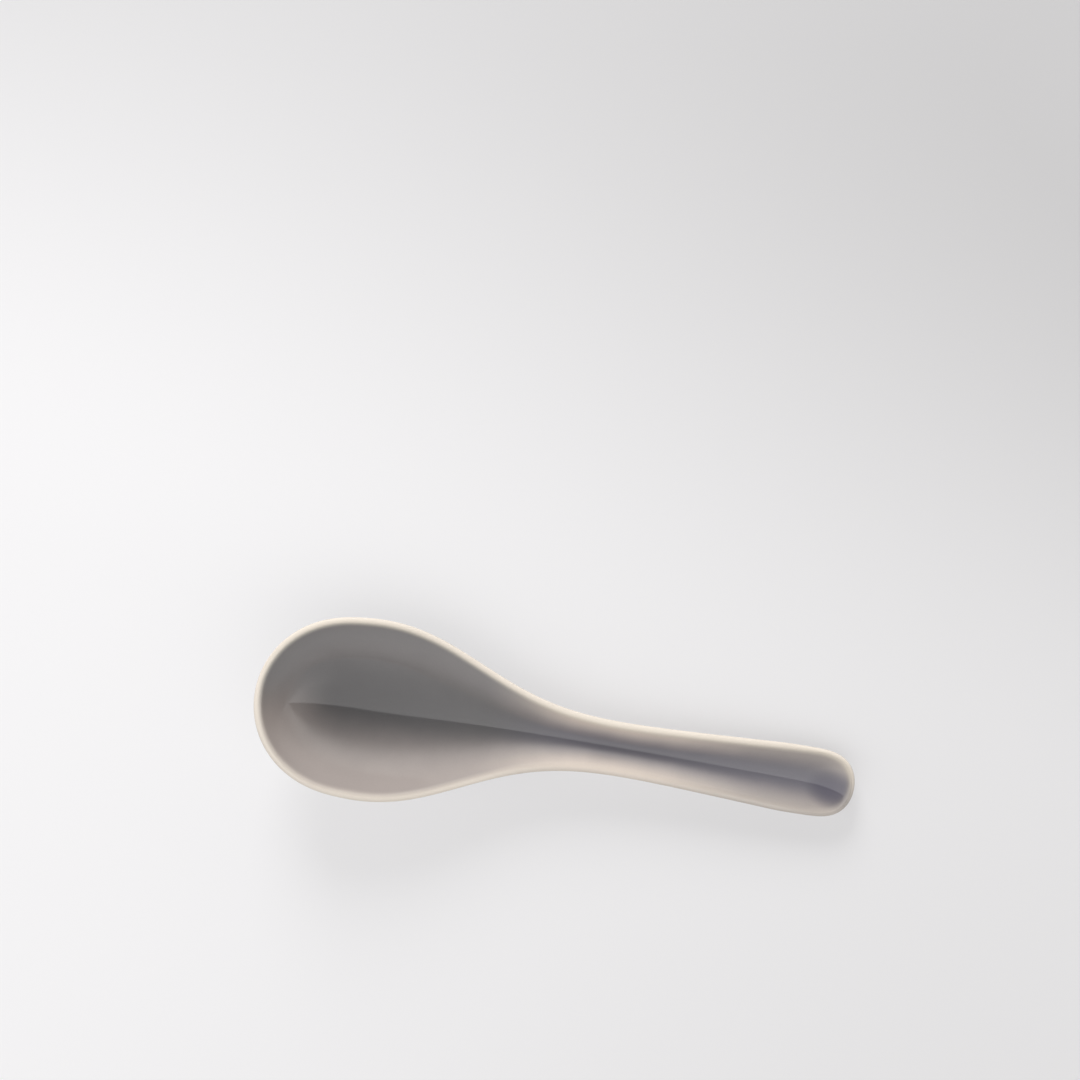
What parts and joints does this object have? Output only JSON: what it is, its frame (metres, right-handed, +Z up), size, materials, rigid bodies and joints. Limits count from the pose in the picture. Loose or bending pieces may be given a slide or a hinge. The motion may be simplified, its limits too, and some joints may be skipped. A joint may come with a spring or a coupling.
{
  "type": "soup spoon",
  "caption": "Glazed ceramic soup spoon with a deep egg-shaped bowl that flows into a channelled handle, with a rounded cream lip all round",
  "frame": {"origin": "on the surface that the spoon lies on, under the middle of its bounding box", "axes": "+X runs from the bowl to the handle's tip, +Y across the bowl, +Z up, with the bowl open upwards"},
  "size_m": [0.1392, 0.0432, 0.0213],
  "materials": {
    "glaze": "glossy warm grey glaze that thins to cream on the rounded lip and pools blue grey in the hollows"
  },
  "bodies": {
    "root": {"spoon": "glaze"}
  },
  "joints": []
}
